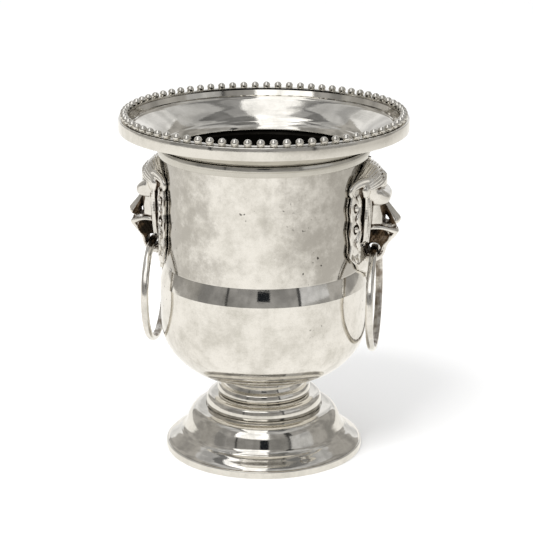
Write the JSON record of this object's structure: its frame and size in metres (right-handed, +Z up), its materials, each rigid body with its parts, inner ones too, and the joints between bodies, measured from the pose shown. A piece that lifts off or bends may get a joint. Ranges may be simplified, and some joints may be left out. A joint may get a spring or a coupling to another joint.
{
  "type": "champagne bucket",
  "caption": "Urn-shaped silver-plated bucket on a stepped round foot, with a beaded flared rim and lion mask handles whose rings swing, for chilling a bottle on ice.",
  "frame": {"origin": "centre of the foot's underside", "axes": "+Z up along the bucket's axis of revolution, +X towards one lion mask, -X towards the other"},
  "size_m": [0.208, 0.208, 0.2548],
  "materials": {
    "body_silver": "worn silver plate, softly polished",
    "polished_silver": "polished silver plate",
    "cast_silver": "cast silver plate with dark tarnish in the hollows",
    "plain_metal": "dull plated brass fasteners"
  },
  "bodies": {
    "root": {"bucket_body": "body_silver", "rim_flange": "polished_silver", "bead_border": "polished_silver", "rim_band": "polished_silver", "neck_collar": "polished_silver", "stem_spool": "polished_silver", "stem_ring": "polished_silver", "foot_shell": "polished_silver", "foot_rim_band": "polished_silver", "foot_bolt": "plain_metal", "foot_washer": "plain_metal", "foot_nut": "plain_metal", "lion_mask_right": "cast_silver", "lion_mask_left": "cast_silver", "mask_screw_right_upper": "plain_metal", "mask_screw_right_lower": "plain_metal", "mask_screw_left_upper": "plain_metal", "mask_screw_left_lower": "plain_metal"},
    "ring_right": {"ring_handle_right": "cast_silver"},
    "ring_left": {"ring_handle_left": "cast_silver"}
  },
  "joints": [
    {"name": "ring_right_swing", "type": "hinge", "parent": "root", "child": "ring_right", "pos_m": [0.0813, 0, 0.1562], "axis": [0, -1, 0], "range_deg": [-1.3, 100]},
    {"name": "ring_left_swing", "type": "hinge", "parent": "root", "child": "ring_left", "pos_m": [-0.0813, 0, 0.1562], "axis": [0, 1, 0], "range_deg": [-1.3, 100]}
  ]
}
